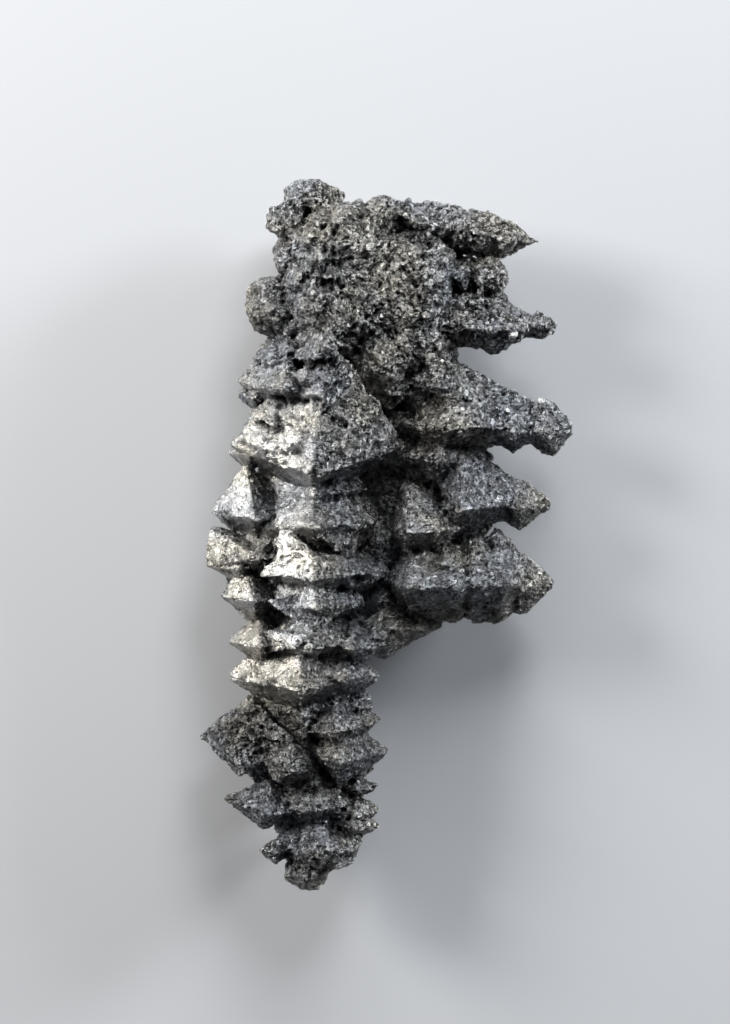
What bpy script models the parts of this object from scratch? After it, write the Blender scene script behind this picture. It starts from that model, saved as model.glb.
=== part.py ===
"""Acanthite specimen: one group of octahedral silver sulphide crystals, grown together in parallel.

A column of stacked octahedra carries a block of sideways fingers on its upper right and a head of
lumps and small crystals at its top. The group lies on its back, with its show side up.

Run with: blender --background --python part.py
Frame: metres, +Z up from the resting plane, +Y along the column from its thin end to its head, +X to
the side of the fingers. The origin is under the middle of the specimen's box, on the resting plane.
"""

import math
import random
from collections import namedtuple

import bmesh
import bpy
from mathutils import Euler, Matrix, Vector
from mathutils.bvhtree import BVHTree

# ---------------------------------------------------------------------------
# Driving dimensions, in millimetres and degrees. While it is drawn, the group has x = 0 on the
# column's axis, y = 0 at the column's thin end and z = 0 on the resting plane.
# ---------------------------------------------------------------------------
MM = 0.001              # metres in a millimetre
NODE = "acanthite_cluster"
LATTICE_NOD = 6.0       # all crystals share one lattice, whose front corners point a little down
MISFIT = 1.2            # how far a crystal strays from that lattice
BLUNT = 0.06            # share of each edge that a crystal's worn corners take
SHARP_BELOW = 2.0       # crystals with a shorter reach keep their corners
LUMP_ROUNDS = 2         # icosphere subdivisions of a lump
LUMP_JITTER = 0.14      # how uneven a lump is, as a share of its radius
DRUSE_TILT = 16         # how far a druse's small crystals stray from the lattice
SUNK = 0.4              # how deep they sit, as a share of their reach
FLAT = 0.5              # faces that meet at less than this angle are one face
ROCK = 200.0            # the block of rock the back grew on; only its top face, at z = 0, matters
SEED = 11
COLOUR = (0.16, 0.16, 0.165, 1)
ROUGHNESS = 0.42
METALLIC = 0.85

# A crystal is an octahedron. sides = reach to (-x, +x), height = reach to (-y, +y), depth = reach to
# (-z, +z). stretch lengthens it along x, as a finger is; turn = (nod, swing, roll) about x, y and z;
# lean pushes its upper corner towards +x.
Crystal = namedtuple("Crystal", "name place sides height depth turn stretch blunt lean",
                     defaults=((0, 0, 0), 0, BLUNT, 0))
# A lump is a worn, rounded knob.
Lump = namedtuple("Lump", "name place radii")
# A druse is a crust of small crystals over an elliptical patch, on the front (side 1) or back (-1).
Druse = namedtuple("Druse", "name place spread count reach side", defaults=(1,))

CORE = [
    Crystal("heart_column", (1.2, 36.0, 6.2), (5.0, 5.0), (34.0, 30.0), (5.0, 4.4)),
    Crystal("heart_head", (6.4, 58.5, 6.2), (8.0, 9.0), (12.0, 10.6), (5.6, 4.8)),
    Crystal("heart_knob", (0.9, 66.8, 7.4), (2.2, 3.6), (3.6, 2.4), (2.8, 2.6)),
    Crystal("core_1", (1.6, 6.4, 6.4), (4.4, 5.4), (4.8, 6.4), (5.2, 2.2)),
    Crystal("core_2", (0.8, 12.4, 6.0), (7.2, 7.2), (8.0, 8.6), (6.4, 2.0)),
    Crystal("core_3", (0.6, 18.4, 6.2), (6.8, 7.2), (8.6, 9.0), (7.2, 3.6)),
    Crystal("core_4", (0.8, 24.6, 6.2), (7.2, 7.4), (9.0, 9.0), (7.4, 3.8)),
    Crystal("core_5", (0.2, 31.0, 6.2), (8.2, 8.0), (9.0, 9.0), (7.6, 3.4)),
    Crystal("core_6", (0.0, 38.0, 6.2), (8.2, 8.2), (9.0, 9.0), (7.6, 3.4)),
    Crystal("core_7", (0.4, 45.4, 6.2), (7.0, 9.0), (8.0, 9.0), (7.6, 3.6)),
    Crystal("core_8", (1.6, 53.0, 6.2), (6.4, 9.0), (9.0, 9.0), (7.6, 3.8)),
    Crystal("core_9", (3.4, 60.6, 6.2), (6.6, 9.0), (9.0, 8.0), (7.4, 4.6)),
    Crystal("web_high", (12.6, 45.6, 4.8), (10.0, 8.0), (9.0, 8.0), (5.2, 2.4)),
    Crystal("web_mid", (13.0, 40.0, 4.4), (10.0, 8.0), (8.0, 8.0), (4.6, 2.0)),
    Crystal("core_arm", (8.2, 29.2, 4.8), (4.6, 4.6), (3.8, 4.6), (3.8, 2.0)),
    Crystal("web_low", (12.8, 32.8, 4.4), (10.4, 9.0), (6.2, 8.0), (4.4, 2.0)),
]

BACK = [
    Crystal("back_head", (8.0, 60.0, 3.8), (8.4, 8.0), (8.0, 6.6), (9.6, 3.0), (0, 0, 12)),
    Crystal("back_neck", (5.0, 52.6, 3.8), (7.0, 7.4), (6.0, 6.0), (6.4, 3.0), (0, 0, -8)),
    Crystal("back_left", (-0.6, 45.6, 3.8), (5.8, 6.0), (6.4, 6.4), (7.0, 3.0), (0, 8, 0)),
    Crystal("back_mid", (1.4, 31.0, 3.8), (6.0, 6.0), (5.6, 6.4), (6.2, 3.0)),
    Crystal("back_fingers", (16.6, 39.6, 4.2), (6.6, 5.6), (6.0, 6.4), (7.6, 2.0), (0, 0, 10)),
    Crystal("back_foot", (0.8, 17.2, 4.0), (5.6, 5.4), (5.6, 5.6), (7.4, 2.0), (0, -6, 0)),
]

COLUMN = [
    Crystal("tip_knob", (0.7, 1.8, 7.3), (3.2, 3.2), (2.6, 2.8), (2.6, 3.0), blunt=0.32),
    Crystal("foot", (1.7, 4.4, 7.1), (5.2, 5.2), (3.6, 3.6), (4.4, 5.2), blunt=0.26),
    Crystal("foot_left", (-2.4, 4.0, 7.8), (1.9, 2.4), (1.4, 1.3), (1.7, 1.9)),
    Crystal("foot_ledge", (3.8, 2.9, 7.6), (2.4, 1.8), (0.9, 0.9), (2.0, 3.0)),
    Crystal("tier_2_left", (-3.5, 8.7, 7.3), (4.6, 5.0), (2.8, 2.6), (3.6, 4.2), (10, 0, -9)),
    Crystal("tier_2", (1.6, 8.6, 6.8), (5.4, 5.2), (3.0, 4.2), (4.4, 4.6), blunt=0.1),
    Crystal("tier_2_step_a", (5.7, 10.3, 6.6), (2.4, 2.2), (1.7, 1.6), (2.2, 2.4)),
    Crystal("tier_2_step_b", (5.6, 8.0, 7.0), (2.6, 2.6), (1.9, 2.0), (2.4, 2.6)),
    Crystal("tier_2_step_c", (5.2, 6.7, 6.8), (2.6, 2.9), (1.9, 1.8), (2.3, 2.7), (0, 0, -6)),
    Crystal("tier_3_left", (-5.0, 15.2, 7.2), (5.8, 5.0), (4.4, 3.0), (4.4, 4.6), (-34, -24, 0)),
    Crystal("tier_3_step_a", (-6.9, 16.7, 7.6), (1.9, 1.9), (1.2, 1.3), (2.0, 2.2)),
    Crystal("tier_3_step_b", (-5.0, 18.2, 7.6), (1.8, 2.0), (1.4, 1.5), (2.2, 2.2)),
    Crystal("tier_3_step_d", (5.8, 17.4, 7.1), (2.4, 1.9), (1.3, 1.4), (2.2, 2.6)),
    Crystal("tier_3_front", (-1.2, 12.8, 9.2), (3.0, 3.2), (3.1, 2.8), (3.5, 3.8), (0, 0, -24), blunt=0.3),
    Crystal("tier_3_right", (3.8, 13.8, 7.2), (3.0, 5.4), (4.4, 4.0), (4.2, 5.8), (0, 0, 2), blunt=0.08),
    Crystal("tier_3_upper", (3.6, 16.4, 7.2), (4.2, 4.9), (2.8, 3.8), (4.2, 5.8), (0, 0, 8)),
    Crystal("tier_3_step_c", (6.0, 18.4, 7.1), (2.2, 1.5), (1.1, 1.2), (2.0, 2.4)),
    Crystal("tier_4", (0.3, 21.1, 6.8), (7.8, 7.8), (4.6, 7.4), (6.6, 7.4)),
    Crystal("tier_4_right", (4.4, 21.6, 7.2), (4.0, 3.7), (2.4, 2.8), (3.6, 5.8)),
    Crystal("tier_5", (1.2, 24.9, 6.8), (6.2, 6.6), (3.4, 7.0), (6.0, 7.0), (0, 0, 3)),
    Crystal("tier_5_left", (-3.8, 24.9, 7.6), (3.8, 3.4), (2.4, 3.0), (3.4, 5.0), blunt=0.14),
    Crystal("tier_5_right", (5.4, 24.7, 7.6), (3.8, 3.6), (2.4, 2.6), (3.4, 4.6)),
    Crystal("tier_6", (1.8, 28.7, 8.4), (5.8, 4.8), (2.9, 6.0), (6.0, 5.2)),
    Crystal("tier_6_left", (-4.4, 29.3, 7.8), (3.8, 2.8), (3.1, 3.5), (3.2, 4.2), (0, 0, 0), lean=-1.1),
    Crystal("tier_7", (1.8, 31.8, 8.8), (6.2, 6.7), (3.2, 5.8), (7.0, 5.6), lean=-3.8),
    Crystal("tier_7_left", (-3.9, 33.6, 7.2), (5.7, 3.2), (3.0, 4.0), (3.6, 4.8), (0, 0, 13), lean=-4.4),
    Crystal("tier_7_step", (-5.8, 32.4, 7.0), (3.6, 3.0), (2.2, 2.0), (3.2, 3.4)),
    Crystal("tier_7_right", (5.0, 31.0, 7.0), (3.0, 3.0), (2.4, 4.0), (4.0, 4.4), (0, 0, -4)),
    Crystal("tier_8", (1.5, 36.5, 8.4), (7.0, 6.2), (4.4, 5.6), (7.4, 5.8), (-5, 0, 4)),
    Crystal("tier_8_ridge", (1.6, 39.8, 6.8), (4.0, 5.6), (2.4, 5.0), (5.0, 6.0), (0, 0, 3)),
    Crystal("tier_8_left", (-4.4, 37.7, 7.0), (4.7, 4.4), (3.6, 5.2), (3.8, 5.0), lean=-1.0),
    Crystal("tier_9", (1.4, 44.5, 8.8), (8.6, 9.4), (6.8, 12.2), (9.0, 6.8), (22, 0, -1), blunt=0.04, lean=1.6),
    Crystal("tier_9_tip", (-5.0, 43.7, 7.2), (2.2, 3.4), (1.9, 1.7), (2.6, 3.0)),
    Crystal("tier_9_ledge", (-2.4, 47.4, 9.2), (2.8, 2.8), (1.9, 1.9), (3.0, 4.4), (10, 0, -6)),
    Crystal("tier_10", (-1.4, 50.5, 8.0), (5.1, 5.0), (3.4, 6.2), (7.0, 7.0), (0, 0, -4)),
    Crystal("tier_10_tip", (-4.4, 49.6, 7.4), (2.1, 3.2), (2.2, 1.8), (2.6, 3.2)),
    Crystal("tier_10_step", (-2.6, 53.2, 8.0), (2.4, 3.0), (1.8, 1.9), (3.0, 4.4)),
    Crystal("tier_11", (1.6, 53.6, 8.2), (4.6, 4.0), (2.4, 4.8), (6.0, 7.0), (0, 0, 2)),
    Crystal("tier_12", (1.2, 58.8, 7.1), (4.8, 6.8), (3.8, 5.0), (6.2, 7.2)),
    Crystal("tier_13", (2.2, 63.6, 7.3), (5.0, 5.8), (3.8, 5.0), (6.2, 6.6)),
]

HEAD = [
    Crystal("head_peak_a", (8.4, 67.6, 7.2), (4.2, 3.6), (3.6, 2.3), (3.2, 3.4), (0, 0, 6)),
    Crystal("head_peak_b", (10.7, 67.6, 7.0), (2.6, 2.6), (2.4, 1.9), (2.6, 2.8), (0, 0, -8)),
    Crystal("head_slope", (12.4, 50.4, 6.0), (6.0, 5.4), (5.0, 6.4), (5.4, 4.0), (0, 6, 20), blunt=0.1),
    Crystal("head_brow", (2.8, 61.4, 8.0), (3.4, 3.8), (1.4, 3.0), (3.0, 5.6), (14, 0, -4)),
    Crystal("head_rim", (12.6, 64.2, 7.2), (4.0, 3.4), (3.0, 3.4), (3.0, 3.6), (0, 0, -8)),
    Crystal("head_edge", (13.6, 58.8, 6.8), (4.4, 4.2), (3.4, 3.4), (3.4, 4.0), (0, 0, 10)),
]

FINGERS = [
    Crystal("finger_1", (15.4, 66.2, 7.2), (3.6, 3.2), (2.5, 2.2), (2.7, 2.9), (0, 0, -8), 6.8),
    Crystal("finger_1_end", (20.4, 65.3, 7.2), (3.4, 3.6), (2.2, 2.0), (2.4, 2.8), (0, 0, -7), blunt=0.1),
    Crystal("finger_2", (18.2, 56.4, 7.0), (5.4, 4.6), (2.3, 2.8), (2.8, 3.4), (0, 0, -1), 5.0),
    Crystal("finger_2_keel", (19.2, 55.0, 6.8), (2.4, 3.8), (1.5, 1.8), (2.0, 2.4), (0, 0, 8)),
    Crystal("finger_2_end", (23.9, 56.4, 7.0), (2.2, 2.1), (1.7, 1.8), (1.8, 2.0), blunt=0.14),
    Crystal("finger_3", (14.4, 46.7, 6.6), (7.0, 13.0), (3.8, 7.2), (4.2, 5.4)),
    Crystal("finger_3_end", (24.8, 46.2, 6.6), (4.0, 3.2), (3.0, 3.2), (2.6, 2.9), blunt=0.2),
    Crystal("finger_3_rib", (21.4, 46.0, 6.6), (5.2, 4.2), (2.5, 3.4), (3.0, 3.2), (0, 0, -2)),
    Crystal("finger_3_crest", (14.0, 50.6, 7.2), (3.4, 3.4), (2.0, 2.6), (4.0, 5.4)),
    Crystal("finger_3_belly", (15.0, 47.0, 7.0), (3.4, 5.2), (3.0, 2.8), (3.8, 4.6)),
    Crystal("finger_4", (15.8, 38.5, 6.6), (3.2, 9.8), (3.2, 6.8), (3.8, 4.8), lean=0.4),
    Crystal("finger_4_end", (22.0, 38.4, 6.6), (4.4, 3.6), (2.5, 3.0), (2.8, 3.0), blunt=0.1),
    Crystal("finger_4_root", (13.4, 43.4, 6.0), (6.0, 6.4), (5.0, 6.0), (3.8, 4.0), (0, 8, 0)),
    Crystal("finger_4_front", (11.9, 36.2, 6.8), (1.4, 3.4), (3.0, 4.6), (4.2, 5.6), (0, 0, 3), 3.0),
    Crystal("finger_5", (18.7, 30.9, 6.6), (4.6, 5.4), (4.3, 4.6), (4.2, 4.6), (0, 0, 0), 3.0, blunt=0.06),
    Crystal("finger_5_end", (22.0, 30.7, 6.6), (3.8, 3.9), (3.8, 3.4), (3.0, 3.0), blunt=0.14),
    Crystal("finger_5_front", (13.4, 30.9, 6.8), (2.4, 2.8), (4.2, 3.8), (4.4, 5.6), (0, 0, 0), 5.0),
    Crystal("finger_5_step", (14.4, 33.0, 6.8), (2.6, 3.2), (1.6, 1.9), (3.0, 5.0)),
    Crystal("shelf", (10.2, 26.4, 6.2), (6.2, 4.4), (2.4, 2.2), (3.4, 3.2), blunt=0.08),
    Crystal("shelf_low", (8.4, 25.0, 6.0), (4.4, 4.2), (2.1, 2.0), (3.2, 3.0), (0, 0, 8)),
    Crystal("shelf_step", (8.2, 25.6, 6.4), (4.2, 3.4), (1.9, 2.2), (3.4, 3.4)),
]

LUMPS = [
    Lump("head_mass_a", (3.8, 64.0, 6.6), (5.4, 4.6, 6.2)),
    Lump("head_mass_b", (10.2, 60.4, 6.2), (6.6, 6.2, 6.2)),
    Lump("head_mass_c", (10.6, 55.0, 6.0), (6.0, 6.4, 5.4)),
    Lump("head_mass_d", (2.8, 58.6, 6.6), (5.6, 5.4, 7.2)),
    Lump("head_mass_e", (8.2, 52.8, 6.0), (4.2, 4.6, 5.8)),
    Lump("cheek_low", (-2.4, 58.0, 7.6), (2.9, 2.4, 3.6)),
    Lump("cheek_high", (-2.9, 59.7, 7.2), (2.3, 1.7, 2.8)),
    Lump("neck", (-0.8, 63.4, 7.4), (1.9, 2.4, 3.0)),
    Lump("knob_left", (-1.2, 66.9, 8.2), (2.1, 2.1, 2.4)),
    Lump("knob_top", (1.1, 69.0, 7.2), (2.8, 2.0, 3.0)),
    Lump("knob_small", (3.2, 69.3, 7.0), (1.3, 1.1, 1.6)),
    Lump("crest", (5.4, 67.3, 7.0), (2.0, 1.7, 2.4)),
    Lump("thumb_left", (16.0, 61.3, 7.0), (1.9, 2.1, 2.2)),
    Lump("thumb_right", (18.7, 61.2, 6.8), (2.1, 2.3, 2.6)),
    Lump("thumb_mid", (17.4, 60.2, 6.2), (2.6, 1.9, 2.2)),
    Lump("thumb_base", (17.2, 58.8, 6.8), (3.6, 1.8, 2.2)),
    Lump("bridge_bead", (19.0, 63.8, 7.0), (0.6, 0.8, 0.7)),
]

DRUSES = [
    Druse("druse_head", (6.4, 60.6), (7.2, 7.4), 38, (0.8, 1.8)),
    Druse("druse_knobs", (0.8, 66.6), (3.0, 3.2), 14, (0.6, 1.2)),
    Druse("druse_neck", (3.0, 53.0), (5.0, 4.0), 10, (0.7, 1.4)),
    Druse("druse_slope", (13.0, 52.0), (4.6, 5.0), 14, (0.7, 1.6)),
    Druse("druse_thumb", (17.6, 60.8), (3.0, 2.6), 9, (0.6, 1.1)),
    Druse("druse_finger_1", (18.0, 65.8), (5.0, 1.1), 9, (0.6, 1.1)),
    Druse("druse_finger_2", (20.0, 56.6), (5.0, 1.8), 9, (0.6, 1.2)),
    Druse("druse_finger_3", (20.0, 46.6), (5.4, 1.6), 9, (0.6, 1.2)),
    Druse("druse_back_head", (7.0, 57.0), (7.0, 9.0), 14, (0.9, 2.0), -1),
    Druse("druse_back_fingers", (17.0, 42.0), (6.0, 11.0), 10, (0.8, 1.6), -1),
    Druse("druse_back_foot", (1.5, 22.0), (4.5, 16.0), 12, (0.8, 1.8), -1),
    Druse("druse_foot", (2.0, 8.0), (4.5, 5.0), 10, (0.6, 1.2)),
]


def clear_scene():
    for obj in list(bpy.data.objects):
        bpy.data.objects.remove(obj, do_unlink=True)


def new_collection(name):
    collection = bpy.data.collections.new(name)
    bpy.context.scene.collection.children.link(collection)
    return collection


def new_object(name, bm, collection):
    mesh = bpy.data.meshes.new(name)
    bm.to_mesh(mesh)
    bm.free()
    obj = bpy.data.objects.new(name, mesh)
    collection.objects.link(obj)
    return obj


def new_helper(name, bm, collection):
    """An object that only helps to make the specimen, and isn't part of it."""
    helper = new_object(name, bm, collection)
    helper.hide_render = True
    helper.display_type = "WIRE"
    return helper


def add_octahedron(bm, crystal, shift):
    """A sphere of four segments and two rings is an octahedron; each corner goes out to its own reach."""
    reaches = (crystal.sides, crystal.height, crystal.depth)
    for vert in bmesh.ops.create_uvsphere(bm, u_segments=4, v_segments=2, radius=1)["verts"]:
        axis = max(range(3), key=lambda i: abs(vert.co[i]))
        plus = vert.co[axis] > 0
        corner = Vector((shift, 0, 0))
        corner[axis] += reaches[axis][1] if plus else -reaches[axis][0]
        if axis == 1 and plus:
            corner.x += crystal.lean
        vert.co = corner


def wrap(bm):
    """One long crystal round the octahedra at its two ends."""
    hull = bmesh.ops.convex_hull(bm, input=bm.verts)
    bmesh.ops.delete(bm, geom=hull["geom_interior"], context="VERTS")
    bmesh.ops.dissolve_limit(bm, angle_limit=math.radians(FLAT), verts=bm.verts, edges=bm.edges)


def make_crystal(crystal, draw, collection):
    bm = bmesh.new()
    for shift in sorted({-crystal.stretch / 2, crystal.stretch / 2}):
        add_octahedron(bm, crystal, shift)
    if crystal.stretch:
        wrap(bm)
    if min(crystal.sides + crystal.height) > SHARP_BELOW:
        worn = list(bm.verts)
        bmesh.ops.bevel(bm, geom=worn, offset=crystal.blunt * 100, offset_type="PERCENT", segments=1,
                        affect="VERTICES")
    turn = [math.radians(angle + draw.uniform(-MISFIT, MISFIT)) for angle in crystal.turn]
    turn[0] += math.radians(LATTICE_NOD)
    place = Matrix.Translation(Vector(crystal.place) * MM) @ Euler(turn).to_matrix().to_4x4()
    bmesh.ops.transform(bm, matrix=place @ Matrix.Diagonal((MM, MM, MM, 1)), verts=bm.verts)
    return new_helper(crystal.name, bm, collection)


def make_lump(lump, draw, collection):
    bm = bmesh.new()
    bmesh.ops.create_icosphere(bm, subdivisions=LUMP_ROUNDS, radius=1)
    for vert in bm.verts:
        vert.co *= 1 + draw.uniform(-LUMP_JITTER, LUMP_JITTER)
    size = Matrix.Diagonal((*(radius * MM for radius in lump.radii), 1))
    place = Matrix.Translation(Vector(lump.place) * MM)
    bmesh.ops.transform(bm, matrix=place @ size, verts=bm.verts)
    return new_helper(lump.name, bm, collection)


def skin_of(pieces):
    """All the pieces' faces in one tree, for a ray to meet."""
    verts = []
    faces = []
    for piece in pieces:
        first = len(verts)
        verts += [vert.co.copy() for vert in piece.data.vertices]
        faces += [[first + i for i in polygon.vertices] for polygon in piece.data.polygons]
    return BVHTree.FromPolygons(verts, faces)


def random_crystal(name, place, reach, draw):
    sides, height, depth = (tuple(reach * draw.uniform(0.8, 1.3) for _ in range(2)) for _ in range(3))
    turn = tuple(draw.uniform(-DRUSE_TILT, DRUSE_TILT) for _ in range(3))
    return Crystal(name, place, sides, height, depth, turn)


def make_druse(druse, skin, draw, collection):
    grown = []
    x, y = druse.place
    wide, high = druse.spread
    for number in range(druse.count):
        angle = draw.uniform(0, math.tau)
        out = math.sqrt(draw.random())
        reach = draw.uniform(*druse.reach)
        above = Vector((x + wide * out * math.cos(angle), y + high * out * math.sin(angle), druse.side * 50))
        spot = skin.ray_cast(above * MM, Vector((0, 0, -druse.side)))[0]
        if spot is None:
            continue
        place = spot / MM - Vector((0, 0, druse.side * SUNK * reach))
        crystal = random_crystal(f"{druse.name}_{number}", place, reach, draw)
        grown.append(make_crystal(crystal, draw, collection))
    return grown


def add_boolean(obj, name, operation):
    boolean = obj.modifiers.new(name, "BOOLEAN")
    boolean.operation = operation
    boolean.solver = "EXACT"
    return boolean


def make_rock(collection):
    """The block that the back grew on, with its top face at z = 0."""
    bm = bmesh.new()
    bmesh.ops.create_cube(bm, size=ROCK * MM)
    bmesh.ops.translate(bm, vec=(0, 0, -ROCK * MM / 2), verts=bm.verts)
    return new_helper("rock", bm, collection)


def islands_of(bm):
    """The vertices of each separate skin."""
    left = set(bm.verts)
    islands = []
    for start in bm.verts:
        if start not in left:
            continue
        left.discard(start)
        island = [start]
        for vert in island:
            near = [edge.other_vert(vert) for edge in vert.link_edges]
            fresh = [other for other in near if other in left]
            left.difference_update(fresh)
            island += fresh
        islands.append(island)
    return islands


def outer_skin(obj):
    """The object as its modifiers leave it, with the sealed voids between its crystals filled."""
    bm = bmesh.new()
    bm.from_object(obj, bpy.context.evaluated_depsgraph_get())
    *voids, _ = sorted(islands_of(bm), key=len)
    bmesh.ops.delete(bm, geom=[vert for void in voids for vert in void], context="VERTS")
    return bm


def centre_on_box(obj):
    """Puts the origin under the middle of the object's box, on the resting plane."""
    corners = [Vector(corner) for corner in obj.bound_box]
    middle = sum(corners, Vector()) / len(corners)
    obj.location = (-middle.x, -middle.y, 0)


def make_material():
    material = bpy.data.materials.new("acanthite")
    material.use_nodes = True
    shader = material.node_tree.nodes["Principled BSDF"]
    shader.inputs["Base Color"].default_value = COLOUR
    shader.inputs["Roughness"].default_value = ROUGHNESS
    shader.inputs["Metallic"].default_value = METALLIC
    return material


def main():
    clear_scene()
    draw = random.Random(SEED)
    specimen = new_collection("acanthite_specimen")
    growth = new_collection("growth")
    cutters = new_collection("cutters")
    pieces = [make_crystal(crystal, draw, growth) for crystal in CORE + BACK + COLUMN + HEAD + FINGERS]
    pieces += [make_lump(lump, draw, growth) for lump in LUMPS]
    skin = skin_of(pieces)
    for druse in DRUSES:
        pieces += make_druse(druse, skin, draw, growth)
    first = pieces[0]
    growth.objects.unlink(first)
    cutters.objects.link(first)
    union = add_boolean(first, "grown_together", "UNION")
    union.operand_type = "COLLECTION"
    union.collection = growth
    add_boolean(first, "grown_on_rock", "DIFFERENCE").object = make_rock(cutters)
    node = new_object(NODE, outer_skin(first), specimen)
    centre_on_box(node)
    node.data.materials.append(make_material())
    for helper in [*growth.objects, *cutters.objects]:
        bpy.data.objects.remove(helper, do_unlink=True)


main()
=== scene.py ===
"""A group of acanthite crystals on a pale floor, seen from straight above.

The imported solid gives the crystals' places and faces. The one piece here is that solid, with some more
crystals that stand out of its faces, in an even, fine mesh. The small relief of the real surface is raised on
it in layers: hollows, swells, steps along the growth lines, lumps and a woven crust on the head, two crusts
of little tilted grains, pits and chipped edges. Lengths in the tables and the relief are in millimetres in
the node's own frame; Blender works in metres.
"""

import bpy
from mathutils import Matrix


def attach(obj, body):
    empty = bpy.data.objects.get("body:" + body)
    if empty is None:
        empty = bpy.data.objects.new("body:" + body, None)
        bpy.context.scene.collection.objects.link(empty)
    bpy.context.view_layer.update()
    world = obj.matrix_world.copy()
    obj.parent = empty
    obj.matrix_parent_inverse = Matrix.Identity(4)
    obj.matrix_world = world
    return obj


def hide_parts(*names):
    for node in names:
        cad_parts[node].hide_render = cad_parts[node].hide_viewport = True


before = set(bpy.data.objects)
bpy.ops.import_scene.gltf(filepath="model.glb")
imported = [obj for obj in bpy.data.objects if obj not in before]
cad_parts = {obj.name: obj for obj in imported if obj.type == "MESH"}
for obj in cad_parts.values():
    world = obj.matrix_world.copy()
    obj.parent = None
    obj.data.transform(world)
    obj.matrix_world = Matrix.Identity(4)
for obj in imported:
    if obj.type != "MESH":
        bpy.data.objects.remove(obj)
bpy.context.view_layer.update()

import itertools
import math
from collections import namedtuple

import bmesh
import bpy
import numpy as np
from mathutils import Vector
from mathutils.bvhtree import BVHTree

MM = 0.001
NODE = "acanthite_cluster"
PIECE = "crystal_group"
FLOOR_Z = 0.0

VOXEL = 0.15  # the even mesh's step
TRIANGLES = 196000  # the most that the piece may have
SHARP_ANGLE = 25  # faces that meet at more than this many degrees keep a sharp edge

# --- places in the drawn view ------------------------------------------------------------------------------

# u runs to the right and v down
VIEW_STEPS = 10  # steps of u and v in a millimetre
U_AT_X0 = 386.55
V_AT_Y0 = 534.4
VIEW_MIDDLE = (365, 512)
VIEW_HEIGHT = 102.4  # what the camera sees from top to bottom, at the height SIGHT_Z
SIGHT_Z = 7.0

# Crystals that stand out of the solid's faces: their corners, as u, v and the height over the solid there
CRYSTALS = {
    "bright_face": ((317, 580, 0.9), (283, 524, 0.1), (317, 556, 2.4), (259, 577, 2.4), (345, 573, -0.2)),
    "roof_above": (
        (333, 551, 1.0),
        (312, 533, 0.6),
        (300, 512, 0.2),
        (352, 512, 0.1),
        (378, 528, 0.3),
        (352, 556, 0.2),
    ),
    "step_below": ((315, 619, 1.0), (267, 600, 0.6), (302, 590, 0.2), (345, 610, 0.1), (312, 634, -0.2)),
    "left_slab": ((300, 646, 0.9), (229, 637, 0.2), (246, 626, 0.5), (312, 634, 0.6), (262, 655, 0.2)),
    "right_point": ((383, 569, 0.9), (352, 557, 0.2), (366, 546, 0.4), (391, 573, 0.2), (362, 588, 0.1)),
    "left_wing": (
        (228, 731, 0.9),
        (204, 733, 0.2),
        (222, 715, 0.4),
        (252, 696, 0.3),
        (290, 738, 0.4),
        (262, 776, 0.2),
    ),
    "rib_on_third": ((437, 396, 0.9), (414, 386, 0.3), (430, 353, 0.5), (468, 371, 0.5), (474, 401, 0.4)),
    "nose": ((318, 353, 0.9), (313, 331, 0.6), (302, 362, 0.4), (337, 365, 0.5), (341, 345, 0.4)),
    "nose_wing": ((341, 352, 0.8), (322, 333, 0.6), (360, 343, 0.6), (353, 363, 0.3)),
    "brow": ((322, 302, 0.8), (303, 299, 0.5), (330, 296, 0.7), (344, 304, 0.4), (318, 322, 0.3)),
    "small_left": ((262, 548, 0.5), (247, 536, 0.5), (272, 539, 0.6), (254, 560, 0.2)),
}
ROOT = 5.0  # how far behind its corners an added crystal ends
ROOT_Z = ROOT / 3  # the lowest that it ends

# Hollows, and swellings with a depth below 0: the middle's u and v, half the length and half the breadth, the
# way that they run in degrees, clockwise from the right, and the depth in millimetres
HOLLOWS = (
    (270, 446, 26, 12, 15, -0.5),
    (350, 450, 26, 11, -10, -0.5),
    (300, 380, 12, 9, 0, -0.4),
    (268, 558, 11, 5, -60, 0.5),
    (280, 403, 9, 7, 90, 0.5),
    (296, 402, 14, 5, 0, 0.6),
    (318, 407, 14, 7, 35, 0.6),
    (341, 424, 14, 5, 25, 0.4),
    (298, 453, 7, 6, 90, 0.5),
    (323, 366, 21, 6, 0, 0.6),
    (265, 424, 9, 6, -20, 0.5),
    (464, 253, 24, 6, 10, 0.4),
    (463, 286, 14, 9, 0, 0.35),
    (459, 332, 12, 9, 0, 0.35),
    (420, 240, 15, 8, 30, 0.7),
    (436, 495, 20, 8, 50, 0.35),
    (314, 790, 13, 9, 90, 0.5),
    (287, 852, 13, 8, 90, 0.25),
    (326, 286, 22, 8, 0, 0.5),
    (400, 408, 22, 8, 30, 0.6),
)
# Dark patches, partly painted shade on faces that lie in shadow and partly tarnish: the middle's u and v, the
# radius and the strength
SHADE_AND_TARNISH_PATCHES = (
    (255, 745, 26, 0.7),
    (306, 462, 20, 0.5),
    (326, 286, 22, 0.8),
    (284, 492, 18, 0.6),
    (240, 750, 20, 0.4),
    (300, 594, 14, 0.5),
    (262, 440, 10, 0.3),
    (350, 540, 20, 0.4),
    (345, 605, 18, 0.35),
    (340, 478, 16, 0.3),
)

# Regions whose surface differs from the upper spine's. Here and below, a pair of numbers is where a smooth
# step starts and where it is full
HEAD_V = (470, 330)
LOW_SPINE_V = (480, 560)
FOOT_V = (685, 715)
FINGERS_U = (372, 398)
FINGERS_V = (640, 610)

# --- the relief --------------------------------------------------------------------------------------------

# A noise: the size of its waves in millimetres, a number that makes it its own, and its layers of finer waves
Noise = namedtuple("Noise", "size salt octaves", defaults=(1,))
HEAD_EDGE = Noise(6.0, 3)
FINGERS_EDGE = Noise(4.0, 4)
FOOT_EDGE = Noise(4.0, 5)
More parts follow.
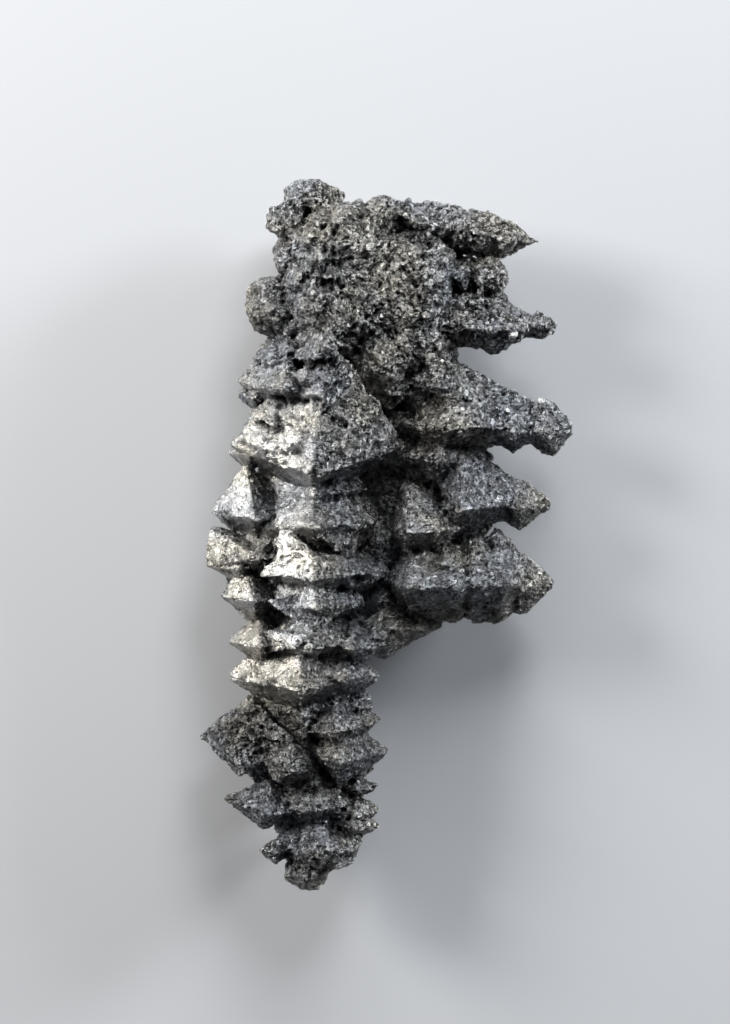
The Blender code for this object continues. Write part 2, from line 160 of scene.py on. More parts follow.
# How far the regions' edges stray, in steps of u or v
HEAD_WANDER = 30
FINGERS_WANDER = 10
FOOT_WANDER = 10
WARPS = (Noise(2.0, 21), Noise(2.0, 23), Noise(2.0, 24))  # in x, y and z
WARP = 0.5
BROAD_ROUNDS = 12  # rounds of blurring that leave the normals of the crystals' own faces alone

CALM_LEFT = (0.1, 0.45)  # how far to the left, toward the key lamp, a calm face looks
CALM_FRONT = (0.0, 0.3)  # how far up
CALM_PATCHES = Noise(2.4, 61, 2)
CALM_PATCH = (-0.9, -0.4)
CALM_LOST_ON_HEAD = 0.7

RAGGED = 0.5  # how ragged the edges of hollows and dark patches are, in radii
RAGGED_EDGES = Noise(1.0, 64, 2)
HOLLOW_EDGE = (1.3, 0.3)
HOLLOW_FRONT = (0.1, 0.4)  # how far up a face with a hollow looks
# Painted shade on the faces that look down the view: its patches, how far they stray, how far down a face
# looks, and its strength
UNDERSIDE_SHADE_PATCHES = Noise(3.0, 62, 2)
UNDERSIDE_SHADE_WANDER = 0.2
UNDERSIDE_SHADE_DOWN = (0.35, 0.7)  # how far down the view a face looks that gets painted shade
UNDERSIDE_SHADE_STRENGTH = 0.35
HOLLOW_SHADE_PER_MM = 0.7  # painted shade in the hollows, for each millimetre of a hollow's depth
SHADE_AND_TARNISH_PATCH_EDGE = (1.1, 0.6)

SWELLS = Noise(5.0, 11, 2)
SWELL_HEIGHT = 0.14
SWELL_MORE_ON_HEAD = 0.8
TERRACES = Noise(3.0, 12, 2)
TERRACE_HEIGHT = 0.10
TERRACE_COUNT = 2.8  # terraces from a wave's middle to its top
TERRACE_SLOPE = 0.25  # the share of a terrace that slopes
TERRACE_LESS_ON_HEAD = 0.5
LUMP_SIZE = 2.1
LUMP_SALT = 22
LUMP_PLAIN = 0.03
LUMP_ON_HEAD = 0.24
LUMP_ON_FINGERS = 0.10
LUMP_REACH = 0.55  # how far a lump goes from its middle, in cells
LUMP_RISE = 1.1
WEAVE = Noise(0.8, 25)
WEAVE_WAY = 60  # degrees
WEAVE_STRETCH = (0.5, 1, 1)
WEAVE_PLAIN = 0.02
WEAVE_ON_HEAD = 0.12
WEAVE_LESS_ON_FINGERS = 0.6

# A crust of little tilted grains: its cells' size, its height everywhere, what the head, the fingers and the
# foot add to it, how much its tops lean, and whether it follows the warped places
Crust = namedtuple("Crust", "size salt plain head fingers foot lean warped")
CRUSTS = (
    Crust(0.8, 31, 0.055, 0.10, 0.04, 0.05, 1.1, True),
    Crust(0.45, 41, 0.035, 0.04, 0.02, 0.03, 1.3, False),
)
CRUST_LESS_ON_CALM = 0.75
GRAIN_REACH = 0.45  # how far a grain goes from its middle, in cells

PIT_SIZE = 0.85
PIT_SALT = 52
PIT_WARP = 0.15
PIT_NOISE = Noise(0.8, 51)
PIT_EDGE = (0.42, 0.12)  # cells
NO_PIT = 0.45  # the share of the cells that has no pit
PIT_DEPTH = 0.10
PIT_MORE_ON_LOW_SPINE = 0.14
PIT_LEAST = 0.4  # the shallowest pit's share of that depth
CHIP_ROUNDS = 12
CHIP_EDGE = (0.04, 0.12)  # how far an edge that may chip stands above its surroundings
CHIPS = Noise(1.6, 71, 2)
CHIP_PATCH = (0.0, 0.35)
CHIP_DEPTH = 0.40

# What the material feels, for the painted shade in hollows and valleys and the painted highlight on edges:
# how far the surface lies below its surroundings, over two reaches in rounds
FELT_ROUNDS = {"hollow": 3, "valley": 24}

# --- the look ----------------------------------------------------------------------------------------------

# Cells or waves in a millimetre
FACET_SCALE = 2.6
GRAIN_SCALE = 6.0
CRACK_SCALE = 1.1
FOLD_SCALE = 2.4
GRIT_SCALE = 4.6
DRIFT_SCALE = 1.6
PATCH_SCALE = 0.55
CLOUD_SCALE = 0.22
TINT_SCALE = 0.12

# Curves: stops of a value, and the grey or colour there
LEAD = ((0.3, (0.52, 0.52, 0.515)), (0.7, (0.74, 0.737, 0.72)))
TINTS = ((0.38, (0.94, 0.98, 1.06)), (0.6, (1.04, 1.0, 0.92)))
FACET_SHADES = ((0.15, 0.2), (0.5, 0.5), (0.85, 1.0))
GRAIN_SHADES = ((0.1, 0.5), (0.9, 1.0))
PIT_SHADES = ((0.31, 0.04), (0.34, 1.0))
SEAM_SHADES = ((0.0, 0.1), (0.045, 1.0))
CRACK_SHADES = ((0.0, 0.1), (0.05, 1.0))
# Painted shade in the hollows and in the wide valleys
HOLLOW_PAINTED_SHADE = ((0.01, 1.0), (0.09, 0.2))
VALLEY_PAINTED_SHADE = ((0.05, 1.0), (0.3, 0.1))
GRAIN_POLISH = ((0.0, 0.2), (1.0, 0.5))

# The colour towards which the painted shade and the tarnish darken
SHADE_AND_TARNISH_COLOUR = (0.45, 0.45, 0.46)
# A painted highlight, pale on the edges that stand out
EDGE_HIGHLIGHT_COLOUR = (0.86, 0.85, 0.82)
EDGE_HIGHLIGHT_FROM = -0.04  # what the hollow attribute is where the painted highlight on the edges begins, in millimetres
EDGE_HIGHLIGHT_GAIN = 9.0
EDGE_HIGHLIGHT_STRENGTH = 0.7
SEAM_STRENGTH = 0.6
CALM_AND_LIT_PLAINNESS = 0.9  # how much of the little facets' variety calm faces lack; as it takes away the facets' dark shades, it paints the faces toward the key lamp lighter
PATCH_PULL = 0.35  # how much the patches change the number of pits
DRIFT = 0.7  # millimetres
METALLIC = 0.9
FOLD_LOW = 0.5
FOLD_GAIN = 0.7
BUMP_LEAST = 0.2
BUMP_STRENGTH = 0.8
BUMP_DEPTH = 0.15
FACET_LEAN = 0.6
GRAIN_LEAN = 0.45
HALF = (0.5, 0.5, 0.5)

# Metres from here on
FLOOR_REACH = 1.6
FLOOR_GAP = 0.00003  # between the specimen's lowest faces and the floor
FLOOR_COLOUR = (0.62, 0.63, 0.65, 1)
FLOOR_ROUGHNESS = 0.8
LENS = 200.0  # the lens and the sensor in millimetres
SENSOR = 36.0
CLIP = (0.01, 20)
LIGHT_AIM = (-0.002, 0.002, 0.006)
# A lamp: its name, place, size, power in watts and colour
LAMPS = (
    ("key", (-0.28, 0.14, 0.15), (0.12, 0.12), 1.15, (1.0, 0.975, 0.93)),
    ("side", (0.38, 0.20, 0.12), (0.12, 0.14), 1.8, (0.92, 0.96, 1.0)),
    ("fill", (0.10, 0.34, 0.28), (0.16, 0.16), 0.9, (0.95, 0.98, 1.0)),
    ("head", (0.02, 0.42, 0.16), (0.2, 0.14), 0.9, (0.97, 0.98, 1.0)),
)
SKY_COLOUR = (0.75, 0.8, 0.9, 1)
SKY_STRENGTH = 0.10


# --- fields ------------------------------------------------------------------------------------------------


def mixed(n):
    """Scrambles whole numbers, so that neighbours differ in every bit."""
    n = (n ^ (n >> np.uint64(33))) * np.uint64(0xFF51AFD7ED558CCD)
    n = (n ^ (n >> np.uint64(33))) * np.uint64(0xC4CEB9FE1A85EC53)
    return n ^ (n >> np.uint64(33))


def cell_numbers(cell, salt, count=3):
    """count numbers between 0 and 1 for each whole-number cell."""
    c = (cell + 100000).astype(np.uint64)
    base = mixed(c[:, 2] + np.uint64(salt))
    base = mixed(c[:, 1] * np.uint64(19349663) + base)
    base = mixed(c[:, 0] * np.uint64(73856093) + base)
    out = np.empty((len(cell), count))
    for k in range(count):
        base = mixed(base + np.uint64(0x9E3779B97F4A7C15))
        out[:, k] = (base >> np.uint64(11)).astype(np.float64) / float(1 << 53)
    return out


def waves(p, size, salt, octaves=1):
    """Smooth noise between about -1 and 1, in waves of the given size."""
    total = np.zeros(len(p))
    weight = 1.0
    for octave in range(octaves):
        q = p / size * 2**octave + 17.3 * octave
        low = np.floor(q).astype(np.int64)
        f = q - low
        ease = f * f * f * (f * (f * 6 - 15) + 10)
        for corner in itertools.product((0, 1), repeat=3):
            d = np.array(corner)
            slope = cell_numbers(low + d, salt + octave) * 2 - 1
            share = np.prod(np.where(d, ease, 1 - ease), axis=1)
            total += weight * share * (slope * (f - d)).sum(1) * 1.6
        weight *= 0.5
    return total


class Cells:
    """The nearest seed point of a scattered set, for each place: how far it is, the way from it to the
    place, and its own random numbers. Lengths are in cells. Square cells have corners and straight sides."""

    def __init__(self, p, size, salt, square=False):
        q = p / size
        low = np.floor(q).astype(np.int64)
        self.near = np.full(len(q), 9.0)  # farther than any seed
        self.off = np.zeros((len(q), 3))
        self.own = np.zeros((len(q), 3))
        for neighbour in itertools.product((-1, 0, 1), repeat=3):
            cell = low + np.array(neighbour)
            numbers = cell_numbers(cell, salt, 6)
            off = q - cell - numbers[:, :3]
            far = np.abs(off).sum(1) * 0.75 if square else np.sqrt((off**2).sum(1))
            first = far < self.near
            self.near = np.where(first, far, self.near)
            self.off[first] = off[first]
            self.own[first] = numbers[first, 3:]


def ramp(value, low, high):
    """0 below low, 1 above high, and smooth between them; low may be the larger."""
    t = np.clip((value - low) / (high - low), 0, 1)
    return t * t * (3 - 2 * t)


def crests(p, stretch, noise):
    """Sharp crests in stretched waves, 1 on a crest and below 0 between them."""
    return 1 - 3.2 * np.abs(waves(p * np.array(stretch), *noise))


def steps(height, slope):
    """The height in whole steps, with slopes between them that take the given share of a step."""
    whole = np.floor(height)
    return whole + ramp(height - whole, 0.5 - slope / 2, 0.5 + slope / 2)


def turned(p, degrees):
    """The places turned about Z, so that x runs along the given direction."""
    c = math.cos(math.radians(degrees))
    s = math.sin(math.radians(degrees))
    return np.stack((p[:, 0] * c + p[:, 1] * s, p[:, 1] * c - p[:, 0] * s, p[:, 2]), axis=1)


def tilted(cells, lean):
    """A crust of little crystals: highest at each cell's seed, with its top leaning its own way."""
    return GRAIN_REACH - cells.near + lean * ((cells.own * 2 - 1) * cells.off).sum(1)


# --- mesh --------------------------------------------------------------------------------------------------


def places(mesh):
    out = np.empty(len(mesh.vertices) * 3)
    mesh.vertices.foreach_get("co", out)
    return out.reshape(-1, 3) / MM


def normals(mesh):
    out = np.empty(len(mesh.vertices) * 3)
    mesh.vertex_normals.foreach_get("vector", out)
    return out.reshape(-1, 3)


def edge_ends(mesh):
    out = np.empty(len(mesh.edges) * 2, np.int32)
    mesh.edges.foreach_get("vertices", out)
    return out.reshape(-1, 2)


def blurred(values, ends, rounds):
    """Vectors at the vertices, each replaced by the mean with its neighbours, a number of times."""
    count = np.bincount(ends.ravel(), minlength=len(values)).astype(float)
    for _ in range(rounds):
        out = np.empty_like(values)
        for k in range(values.shape[1]):
            total = np.bincount(ends[:, 0], values[ends[:, 1], k], len(values))
            total += np.bincount(ends[:, 1], values[ends[:, 0], k], len(values))
            out[:, k] = (values[:, k] + total) / (count + 1)
        values = out
    return values


def below_surroundings(p, n, ends, rounds):
    """How far each place lies below its blurred surroundings, in millimetres along its normal."""
    return ((blurred(p, ends, rounds) - p) * n).sum(1)


def crystal_points(front, corners):
    """A crystal's corners in millimetres, and the point deep in the solid where it ends."""
    out = []
    for u, v, over in corners:
        x = (u - U_AT_X0) / VIEW_STEPS
        y = (V_AT_Y0 - v) / VIEW_STEPS
        hit = front.ray_cast((x * MM, y * MM, 1.0), (0, 0, -1))[0]
        out.append(Vector((x, y, (hit.z / MM if hit else ROOT) + over)))
    middle = sum(out, Vector()) / len(out)
    out.append(Vector((middle.x, middle.y, max(middle.z - ROOT, ROOT_Z))))
    return out


def add_crystal(whole, front, corners):
    """Adds the hull of a crystal's points to the mesh."""
    made = bmesh.new()
    for place in crystal_points(front, corners):
        made.verts.new(place * MM)
    bmesh.ops.convex_hull(made, input=made.verts)
    loose = [vert for vert in made.verts if not vert.link_faces]
    bmesh.ops.delete(made, geom=loose, context="VERTS")
    scrap = bpy.data.meshes.new("crystal")
    made.to_mesh(scrap)
    made.free()
    whole.from_mesh(scrap)
    bpy.data.meshes.remove(scrap)


def modified_mesh(body):
    """The mesh that the object's modifiers make."""
    graph = bpy.context.evaluated_depsgraph_get()
    return bpy.data.meshes.new_from_object(body.evaluated_get(graph))


def take_mesh(body, mesh):
    """Gives the object a mesh in place of its own and its modifiers."""
    body.modifiers.clear()
    body.data = mesh


def fine_copy(node):
    """The node's mesh with its outstanding crystals, in even small faces, as a new object."""
    whole = bmesh.new()
    whole.from_mesh(node.data)
    front = BVHTree.FromBMesh(whole)
    for corners in CRYSTALS.values():
        add_crystal(whole, front, corners)
    joined = bpy.data.meshes.new(PIECE)
    whole.to_mesh(joined)
    whole.free()
    made = bpy.data.objects.new(PIECE, joined)
    bpy.context.scene.collection.objects.link(made)
    even = made.modifiers.new("even", "REMESH")
    even.mode = "VOXEL"
    even.voxel_size = VOXEL * MM
    even.adaptivity = 0.0
    take_mesh(made, modified_mesh(made))
    return made


def thin(body):
    """Joins the body's flattest faces, until it has few enough triangles."""
    count = sum(len(face.vertices) - 2 for face in body.data.polygons)
    if count > TRIANGLES:
        fewer = body.modifiers.new("fewer", "DECIMATE")
        fewer.ratio = TRIANGLES / count
        mesh = modified_mesh(body)
        mesh.validate()  # drops the few faces that lie on others
        take_mesh(body, mesh)


# --- relief ------------------------------------------------------------------------------------------------


class Skin:
    """The places on the surface, with what the relief's layers ask about them."""

    def __init__(self, mesh):
        self.p = places(mesh)
        self.n = normals(mesh)
        self.ends = edge_ends(mesh)
        self.u = self.p[:, 0] * VIEW_STEPS + U_AT_X0
        self.v = V_AT_Y0 - self.p[:, 1] * VIEW_STEPS
        self.broad = blurred(self.n, self.ends, BROAD_ROUNDS)
        self.ragged = RAGGED * waves(self.p, *RAGGED_EDGES)
        self.warped = self.p + WARP * np.stack([waves(self.p, *noise) for noise in WARPS], axis=1)
        self.head = ramp(self.v + HEAD_WANDER * waves(self.p, *HEAD_EDGE), *HEAD_V)
        self.fingers = ramp(self.u + FINGERS_WANDER * waves(self.p, *FINGERS_EDGE), *FINGERS_U)
        self.fingers *= ramp(self.v, *FINGERS_V)
        self.low_spine = ramp(self.v, *LOW_SPINE_V) * (1 - self.fingers)
        self.foot = ramp(self.v + FOOT_WANDER * waves(self.p, *FOOT_EDGE), *FOOT_V)

    def away(self, middle, half, breadth, degrees):
        """How far the places are from an oval's middle, in its half lengths and breadths, ragged a little."""
        c = math.cos(math.radians(degrees))
        s = math.sin(math.radians(degrees))
        du = self.u - middle[0]
        dv = self.v - middle[1]
        return np.hypot((du * c + dv * s) / half, (dv * c - du * s) / breadth) + self.ragged


def calm_and_lit_faces(skin):
    """1 on the spine's clean left faces that look up, toward the key lamp, and 0 on rough ones. Their crust
    is lower and their bump calmer, and the material paints them lighter, which is painted light.
    """
    calm_and_lit = ramp(-skin.broad[:, 0], *CALM_LEFT) * ramp(skin.broad[:, 2], *CALM_FRONT)
    calm_and_lit = calm_and_lit * (1 - CALM_LOST_ON_HEAD * skin.head) * (1 - skin.fingers) * (1 - skin.foot)
    return calm_and_lit * ramp(waves(skin.p, *CALM_PATCHES), *CALM_PATCH)


def hollow_depths(skin):
    sunk = np.zeros(len(skin.p))
    upward = ramp(skin.broad[:, 2], *HOLLOW_FRONT)
    for u, v, half, breadth, degrees, depth in HOLLOWS:
        sunk += depth * ramp(skin.away((u, v), half, breadth, degrees), *HOLLOW_EDGE) * upward
    return sunk


def painted_shade_and_tarnish(skin, sunk):
    """Painted shade on the faces that look down the view and in the hollows, and the dark patches, which are
    partly painted shade and partly tarnished.
    """
    # painted shade: darker on the faces that look down the view and in the hollows
    downward = -skin.broad[:, 1] + UNDERSIDE_SHADE_WANDER * waves(skin.p, *UNDERSIDE_SHADE_PATCHES)
    shade_and_tarnish = np.maximum(UNDERSIDE_SHADE_STRENGTH * ramp(downward, *UNDERSIDE_SHADE_DOWN), HOLLOW_SHADE_PER_MM * sunk)
    front = skin.broad[:, 2] > 0
    # dark patches: painted shade on faces in shadow, and partly tarnish
    for u, v, radius, strength in SHADE_AND_TARNISH_PATCHES:
        patch = ramp(skin.away((u, v), radius, radius, 0), *SHADE_AND_TARNISH_PATCH_EDGE)
        shade_and_tarnish = np.maximum(shade_and_tarnish, strength * patch * front)
    return shade_and_tarnish


def swells(skin):
    """Long waves that bend the faces, higher on the head."""
    return SWELL_HEIGHT * waves(skin.p, *SWELLS) * (1 + SWELL_MORE_ON_HEAD * skin.head)


def terraces(skin):
    """Steps along the growth lines."""
    height = steps(TERRACE_COUNT * waves(skin.warped, *TERRACES), TERRACE_SLOPE)
    return TERRACE_HEIGHT * height * (1 - TERRACE_LESS_ON_HEAD * skin.head)


def lumps(skin):
    """Round lumps, mostly on the head."""
    height = LUMP_ON_HEAD * skin.head + LUMP_ON_FINGERS * skin.fingers + LUMP_PLAIN
    return height * (LUMP_REACH - Cells(skin.warped, LUMP_SIZE, LUMP_SALT).near) * LUMP_RISE


def weave(skin):
    """Sharp crests that run aslant, mostly on the head."""
    height = WEAVE_ON_HEAD * skin.head * (1 - WEAVE_LESS_ON_FINGERS * skin.fingers) + WEAVE_PLAIN
    return height * crests(turned(skin.warped, WEAVE_WAY), WEAVE_STRETCH, WEAVE)


def grains(skin, calm_and_lit, crust):
    """A crust of little tilted grains, lower on the calm faces."""
    height = crust.plain + crust.head * skin.head + crust.fingers * skin.fingers + crust.foot * skin.foot
    cells = Cells(skin.warped if crust.warped else skin.p, crust.size, crust.salt, square=True)
    return height * (1 - CRUST_LESS_ON_CALM * calm_and_lit) * tilted(cells, crust.lean)


def pit_depths(skin):
    """Small round pits in some of the cells, deeper on the low spine."""
    warp = PIT_WARP * waves(skin.p, *PIT_NOISE)
    cells = Cells(skin.p + warp[:, None], PIT_SIZE, PIT_SALT)
    inside = ramp(cells.near, *PIT_EDGE) * (cells.own[:, 0] > NO_PIT)
    depth = PIT_DEPTH + PIT_MORE_ON_LOW_SPINE * skin.low_spine
    return inside * depth * (PIT_LEAST + (1 - PIT_LEAST) * cells.own[:, 1])


def chip_depths(skin):
    """Stretches of the sharp edges that are broken off."""
    above = -below_surroundings(skin.p, skin.n, skin.ends, CHIP_ROUNDS)
    return CHIP_DEPTH * ramp(above, *CHIP_EDGE) * ramp(waves(skin.p, *CHIPS), *CHIP_PATCH)


def keep(mesh, name, values):
    """Keeps a number for each vertex, for the material."""
    made = mesh.attributes.new(name, "FLOAT", "POINT")
    made.data.foreach_set("value", values.astype(np.float32))


def relief(mesh):
    """Raises the small forms of the surface, and keeps what the material needs to know of them."""
    skin = Skin(mesh)
    calm_and_lit = calm_and_lit_faces(skin)
    sunk = hollow_depths(skin)
    rise = swells(skin) - sunk
    rise += terraces(skin)
    rise += lumps(skin)
    rise += weave(skin)
    for crust in CRUSTS:
        rise += grains(skin, calm_and_lit, crust)
    rise -= pit_depths(skin)
    rise -= chip_depths(skin)
    p = skin.p + skin.n * rise[:, None]
    p[:, 2] = np.maximum(p[:, 2], FLOOR_Z)
    mesh.vertices.foreach_set("co", (p * MM).ravel())
    mesh.update()
    # the calm mask, which also paints the faces toward the key lamp lighter
    keep(mesh, "calm_and_lit", calm_and_lit)
    # painted shade on the undersides and in the hollows, with the partly tarnished dark patches
    keep(mesh, "shade_and_tarnish", painted_shade_and_tarnish(skin, sunk))
    n = normals(mesh)
    for name, rounds in FELT_ROUNDS.items():
        keep(mesh, name, below_surroundings(p, n, skin.ends, rounds))


# --- material ----------------------------------------------------------------------------------------------


class Nodes:
    """A material's nodes. A value that a call takes is a number, a tuple or another node's output."""

    def __init__(self, material):
        material.use_nodes = True
        self.tree = material.node_tree
        self.surface = self.tree.nodes["Principled BSDF"].inputs

    def feed(self, socket, value):
        if isinstance(value, bpy.types.NodeSocket):
            self.tree.links.new(value, socket)
        else:
            socket.default_value = value

    def node(self, kind, inputs, **settings):
        made = self.tree.nodes.new(kind)
        for name, value in settings.items():
            setattr(made, name, value)
        for name, value in inputs.items():
            self.feed(made.inputs[name], value)
        return made

    def math(self, operation, a, b, clamp=False):
        return self.node("ShaderNodeMath", {0: a, 1: b}, operation=operation, use_clamp=clamp).outputs[0]

    def vector(self, operation, inputs):
        return self.node("ShaderNodeVectorMath", inputs, operation=operation).outputs[0]

    def noise(self, where, scale, detail, roughness=0.5):
        inputs = {"Vector": where, "Scale": scale, "Detail": detail, "Roughness": roughness}
        return self.node("ShaderNodeTexNoise", inputs).outputs

    def folds(self, where, scale):
        """Sharp-crested folds, between 0 and 1."""
        inputs = {"Vector": where, "Scale": scale, "Detail": 3.0, "Roughness": 0.6}
        inputs |= {"Offset": 1.0, "Gain": 2.0}
        made = self.node("ShaderNodeTexNoise", inputs, noise_type="RIDGED_MULTIFRACTAL")
        above = self.math("SUBTRACT", made.outputs["Fac"], FOLD_LOW)
        return self.math("MULTIPLY", above, FOLD_GAIN, clamp=True)

    def cells(self, where, scale):
        """A random colour for each little cell. The cells have straight sides."""
        inputs = {"Vector": where, "Scale": scale}
        return self.node("ShaderNodeTexVoronoi", inputs, distance="MANHATTAN").outputs["Color"]

    def borders(self, where, scale):
        """The distance to the nearest border between cells."""
        inputs = {"Vector": where, "Scale": scale}
        return self.node("ShaderNodeTexVoronoi", inputs, feature="DISTANCE_TO_EDGE").outputs["Distance"]

    def attribute(self, name):
        return self.node("ShaderNodeAttribute", {}, attribute_name=name).outputs["Fac"]

    def curve(self, value, stops):
        """The grey or colour for a value, through stops of a value and its grey or colour."""
        made = self.node("ShaderNodeValToRGB", {"Fac": value})
        elements = made.color_ramp.elements
        while len(elements) < len(stops):
            elements.new(0.5)
        for element, (place, shade) in zip(elements, stops):
            element.position = place
            element.color = (*shade, 1) if isinstance(shade, tuple) else (shade, shade, shade, 1)
        return made.outputs["Color"]

    def blend(self, a, b, factor=1.0, mode="MULTIPLY"):
        made = self.node("ShaderNodeMix", {"Factor": factor}, data_type="RGBA", blend_type=mode)
        for index, value in ((6, a), (7, b)):  # the mix node's two colours
            self.feed(made.inputs[index], (*value, 1) if isinstance(value, tuple) else value)
        return made.outputs[2]


class Ground:
    """The fields that the material's colour, gloss and normal share."""

    def __init__(self, nodes):
        where = nodes.node("ShaderNodeTexCoord", {}).outputs["Object"]
        self.at = nodes.vector("SCALE", {0: where, "Scale": 1 / MM})
        drift = leaning(nodes, nodes.noise(self.at, DRIFT_SCALE, 2.0)["Color"], DRIFT)
        self.bent = nodes.vector("ADD", {0: self.at, 1: drift})
        # Calm faces look toward the key lamp: their colour loses most of the dark facet shades, which is
        # painted light, and their bump is calmer
        plain = nodes.math("MULTIPLY", nodes.attribute("calm_and_lit"), CALM_AND_LIT_PLAINNESS)
        self.rough = nodes.math("SUBTRACT", 1.0, plain)
        self.facets = nodes.cells(self.bent, FACET_SCALE)
        self.grains = nodes.cells(self.at, GRAIN_SCALE)
        self.grit = nodes.noise(self.bent, GRIT_SCALE, 4.0, 0.6)["Fac"]


def leaning(nodes, colour, amount):
    """A small vector of its own for each random colour."""
    centred = nodes.vector("SUBTRACT", {0: colour, 1: HALF})
    return nodes.vector("SCALE", {0: centred, "Scale": amount})


def clean_colour(nodes, ground):
    """Lead grey, here and there a little warm or cool, with a shade of its own for each facet and grain. The
    calm faces toward the key lamp lose most of these shades, which paints them lighter.
    """
    cloud = nodes.noise(ground.at, CLOUD_SCALE, 3.0, 0.6)["Fac"]
    tint = nodes.noise(ground.at, TINT_SCALE, 2.0)["Fac"]
    colour = nodes.blend(nodes.curve(cloud, LEAD), nodes.curve(tint, TINTS))
    colour = nodes.blend(colour, nodes.curve(ground.facets, FACET_SHADES), ground.rough)
    return nodes.blend(colour, nodes.curve(ground.grains, GRAIN_SHADES), ground.rough)


def with_seams(nodes, ground, colour):
    """Near black in little pits, and dark in the seams between facets and in the cracks."""
    patch = nodes.noise(ground.at, PATCH_SCALE, 2.0)["Fac"]
    pull = nodes.math("MULTIPLY", nodes.math("SUBTRACT", patch, 0.5), PATCH_PULL)
    pitted = nodes.math("ADD", ground.grit, pull)
    colour = nodes.blend(colour, nodes.curve(pitted, PIT_SHADES))
    seams = nodes.curve(nodes.borders(ground.bent, FACET_SCALE), SEAM_SHADES)
    colour = nodes.blend(colour, seams, SEAM_STRENGTH)
    cracks = nodes.curve(nodes.borders(ground.bent, CRACK_SCALE), CRACK_SHADES)
    return nodes.blend(colour, cracks, SEAM_STRENGTH)


def with_painted_light_and_tarnish(nodes, colour):
    """Painted shade, dark in the hollows and the valleys, on the faces that look down and in the dark
    patches, which are partly tarnished; and a painted highlight, pale on the edges, which stand out.
    """
    hollow = nodes.attribute("hollow")
    # painted shade, darker in the hollows and in the wide valleys
    colour = nodes.blend(colour, nodes.curve(hollow, HOLLOW_PAINTED_SHADE))
    colour = nodes.blend(colour, nodes.curve(nodes.attribute("valley"), VALLEY_PAINTED_SHADE))
    # painted shade on the undersides and in the hollows, and the partly tarnished dark patches
    colour = nodes.blend(colour, SHADE_AND_TARNISH_COLOUR, nodes.attribute("shade_and_tarnish"))
    # painted highlight: pale on the edges that stand above their surroundings
    above = nodes.math("SUBTRACT", EDGE_HIGHLIGHT_FROM, hollow)
    edge_highlight = nodes.math("MULTIPLY", above, EDGE_HIGHLIGHT_GAIN, clamp=True)
    return nodes.blend(colour, EDGE_HIGHLIGHT_COLOUR, nodes.math("MULTIPLY", edge_highlight, EDGE_HIGHLIGHT_STRENGTH), "MIX")


def leaning_normal(nodes, ground):
    """Each facet and each grain leans its own way, over a fine bump. Calm faces have less of both."""
    height = nodes.math("ADD", nodes.folds(ground.bent, FOLD_SCALE), ground.grit)
    height = nodes.math("MULTIPLY", height, nodes.math("ADD", ground.rough, BUMP_LEAST))
    inputs = {"Strength": BUMP_STRENGTH, "Distance": BUMP_DEPTH * MM, "Height": height}
    bump = nodes.node("ShaderNodeBump", inputs).outputs["Normal"]
    facet_lean = leaning(nodes, ground.facets, FACET_LEAN)
    grain_lean = leaning(nodes, ground.grains, GRAIN_LEAN)
    lean = nodes.vector("ADD", {0: facet_lean, 1: grain_lean})
    lean = nodes.vector("SCALE", {0: lean, "Scale": ground.rough})
    return nodes.vector("NORMALIZE", {0: nodes.vector("ADD", {0: bump, 1: lean})})


def acanthite():
    material = bpy.data.materials.new("acanthite")
    nodes = Nodes(material)
    ground = Ground(nodes)
    colour = with_seams(nodes, ground, clean_colour(nodes, ground))
    nodes.feed(nodes.surface["Base Color"], with_painted_light_and_tarnish(nodes, colour))
    nodes.feed(nodes.surface["Roughness"], nodes.curve(ground.grains, GRAIN_POLISH))
    nodes.feed(nodes.surface["Metallic"], METALLIC)
    nodes.feed(nodes.surface["Normal"], leaning_normal(nodes, ground))
    return material


# --- surroundings ------------------------------------------------------------------------------------------


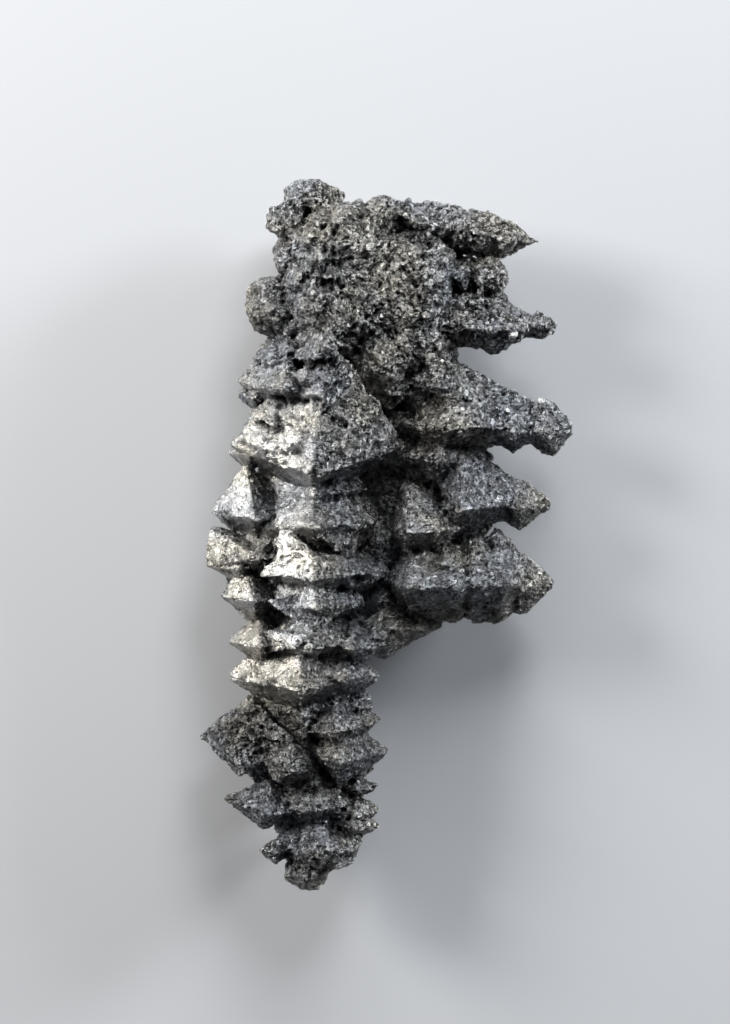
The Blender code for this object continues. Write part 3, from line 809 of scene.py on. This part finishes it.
def pale_floor():
    corners = [(-1, -1), (1, -1), (1, 1), (-1, 1)]
    mesh = bpy.data.meshes.new("floor")
    mesh.from_pydata([(x * FLOOR_REACH, y * FLOOR_REACH, 0) for x, y in corners], [], [(0, 1, 2, 3)])
    floor = bpy.data.objects.new("floor", mesh)
    bpy.context.scene.collection.objects.link(floor)
    floor.location.z = FLOOR_Z - FLOOR_GAP
    material = bpy.data.materials.new("floor")
    surface = Nodes(material).surface
    surface["Base Color"].default_value = FLOOR_COLOUR
    surface["Roughness"].default_value = FLOOR_ROUGHNESS
    mesh.materials.append(material)


def lamp(name, place, size, watts, colour):
    light = bpy.data.lights.new(name, "AREA")
    light.shape = "RECTANGLE"
    light.size, light.size_y = size
    light.energy = watts
    light.color = colour
    made = bpy.data.objects.new(name, light)
    bpy.context.scene.collection.objects.link(made)
    made.location = place
    made.rotation_mode = "QUATERNION"
    made.rotation_quaternion = (Vector(LIGHT_AIM) - Vector(place)).to_track_quat("-Z", "Y")


def camera():
    """Looks straight down on the middle of the drawn view."""
    data = bpy.data.cameras.new("camera")
    data.sensor_width = SENSOR
    data.lens = LENS
    data.clip_start, data.clip_end = CLIP
    made = bpy.data.objects.new("camera", data)
    bpy.context.scene.collection.objects.link(made)
    x = (VIEW_MIDDLE[0] - U_AT_X0) / VIEW_STEPS * MM
    y = (V_AT_Y0 - VIEW_MIDDLE[1]) / VIEW_STEPS * MM
    made.location = (x, y, (SIGHT_Z + VIEW_HEIGHT * LENS / SENSOR) * MM)
    bpy.context.scene.camera = made


def sky():
    world = bpy.data.worlds.new("studio")
    bpy.context.scene.world = world
    world.use_nodes = True
    background = world.node_tree.nodes["Background"].inputs
    background["Color"].default_value = SKY_COLOUR
    background["Strength"].default_value = SKY_STRENGTH


body = fine_copy(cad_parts[NODE])
relief(body.data)
thin(body)
body.data.materials.clear()
body.data.materials.append(acanthite())
body.data.polygons.foreach_set("material_index", np.zeros(len(body.data.polygons), np.int32))
body.data.shade_smooth()
body.data.set_sharp_from_angle(angle=math.radians(SHARP_ANGLE))
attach(body, "root")
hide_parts(NODE)

pale_floor()
camera()
for values in LAMPS:
    lamp(*values)
sky()
bpy.context.scene.view_settings.view_transform = "Standard"
